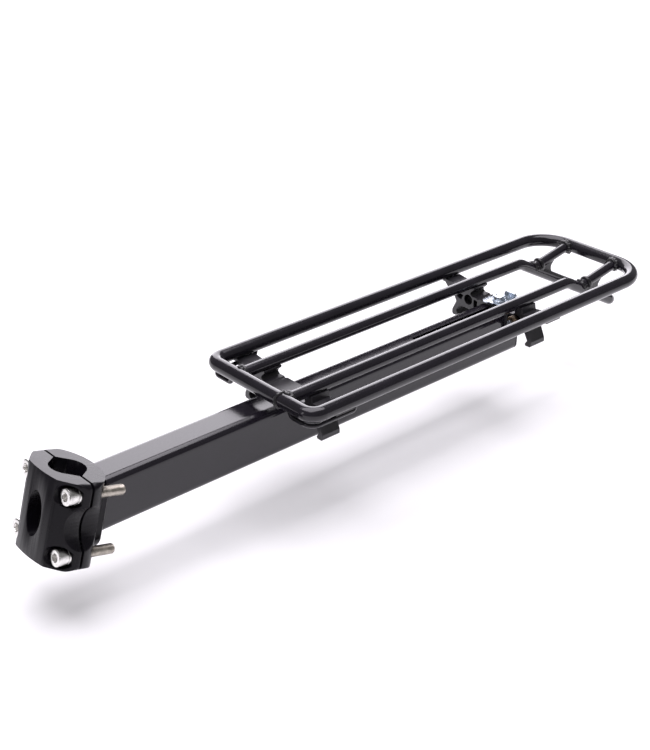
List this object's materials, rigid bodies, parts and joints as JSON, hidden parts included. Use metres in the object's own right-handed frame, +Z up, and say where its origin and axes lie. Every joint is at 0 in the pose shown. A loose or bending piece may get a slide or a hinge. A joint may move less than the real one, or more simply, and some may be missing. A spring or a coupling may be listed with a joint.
{
  "type": "rear rack",
  "caption": "Seatpost-mounted bicycle rear rack with a two-piece bolted clamp, a rectangular beam and a tubular platform that slides along it and locks with a bolt.",
  "frame": {"origin": "where the beam's axis meets the seatpost bore's axis, inside the clamp", "axes": "+X rearwards along the beam, +Y to the rider's right, +Z up; the seatpost bore leans back by 15.5 degrees"},
  "size_m": [0.622, 0.133, 0.0767],
  "materials": {
    "black_coat": "satin",
    "black_plastic": "matte",
    "bright_steel": "satin",
    "zinc_steel": "satin",
    "bronze_brass": "satin"
  },
  "bodies": {
    "frame": {"beam": "black_coat", "beam_weld": "black_coat", "beam_end_cap": "black_plastic", "clamp_rear_half": "black_coat"},
    "platform": {"outer_loop": "black_coat", "inner_loop": "black_coat", "rear_strut_left": "black_coat", "rear_strut_right": "black_coat", "front_welds": "black_coat", "strut_welds": "black_coat", "loop_joint_weld": "black_coat", "cord_hook_left": "black_coat", "cord_hook_right": "black_coat", "front_bracket": "black_coat", "rear_bracket": "black_coat", "lock_plate": "zinc_steel", "lock_washer": "zinc_steel", "lock_nut_plate": "zinc_steel", "port_screw": "zinc_steel"},
    "clamp_front": {"clamp_front_half": "black_coat", "clamp_spring_washers": "bright_steel"},
    "clamp_bolt_upper_left": {"clamp_bolt_upper_left": "bright_steel"},
    "clamp_bolt_upper_right": {"clamp_bolt_upper_right": "bright_steel"},
    "clamp_bolt_lower_left": {"clamp_bolt_lower_left": "bright_steel"},
    "clamp_bolt_lower_right": {"clamp_bolt_lower_right": "bright_steel"},
    "lock_bolt": {"lock_bolt": "zinc_steel"},
    "brass_nut": {"brass_nut": "bronze_brass"}
  },
  "joints": [
    {"name": "platform_slide", "type": "slide", "parent": "frame", "child": "platform", "axis": [1, 0, 0], "range_m": [-0.1, 0]},
    {"name": "clamp_open", "type": "slide", "parent": "frame", "child": "clamp_front", "axis": [-0.9636, 0, 0.2672], "range_m": [0, 0.012]},
    {"name": "clamp_bolt_upper_left_turn", "type": "hinge", "parent": "clamp_front", "child": "clamp_bolt_upper_left", "pos_m": [0.00676, -0.025, 0.02438], "axis": [0.9636, 0, -0.2672], "continuous": true},
    {"name": "clamp_bolt_upper_right_turn", "type": "hinge", "parent": "clamp_front", "child": "clamp_bolt_upper_right", "pos_m": [0.00676, 0.025, 0.02438], "axis": [0.9636, 0, -0.2672], "continuous": true},
    {"name": "clamp_bolt_lower_left_turn", "type": "hinge", "parent": "clamp_front", "child": "clamp_bolt_lower_left", "pos_m": [-0.00548, -0.025, -0.01975], "axis": [0.9636, 0, -0.2672], "continuous": true},
    {"name": "clamp_bolt_lower_right_turn", "type": "hinge", "parent": "clamp_front", "child": "clamp_bolt_lower_right", "pos_m": [-0.00548, 0.025, -0.01975], "axis": [0.9636, 0, -0.2672], "continuous": true},
    {"name": "lock_bolt_turn", "type": "hinge", "parent": "platform", "child": "lock_bolt", "pos_m": [0.457, 0, 0.026], "axis": [0, 0, 1], "continuous": true},
    {"name": "brass_nut_turn", "type": "hinge", "parent": "platform", "child": "brass_nut", "pos_m": [0.448, -0.0283, 0.019], "axis": [1, 0, 0], "continuous": true}
  ]
}
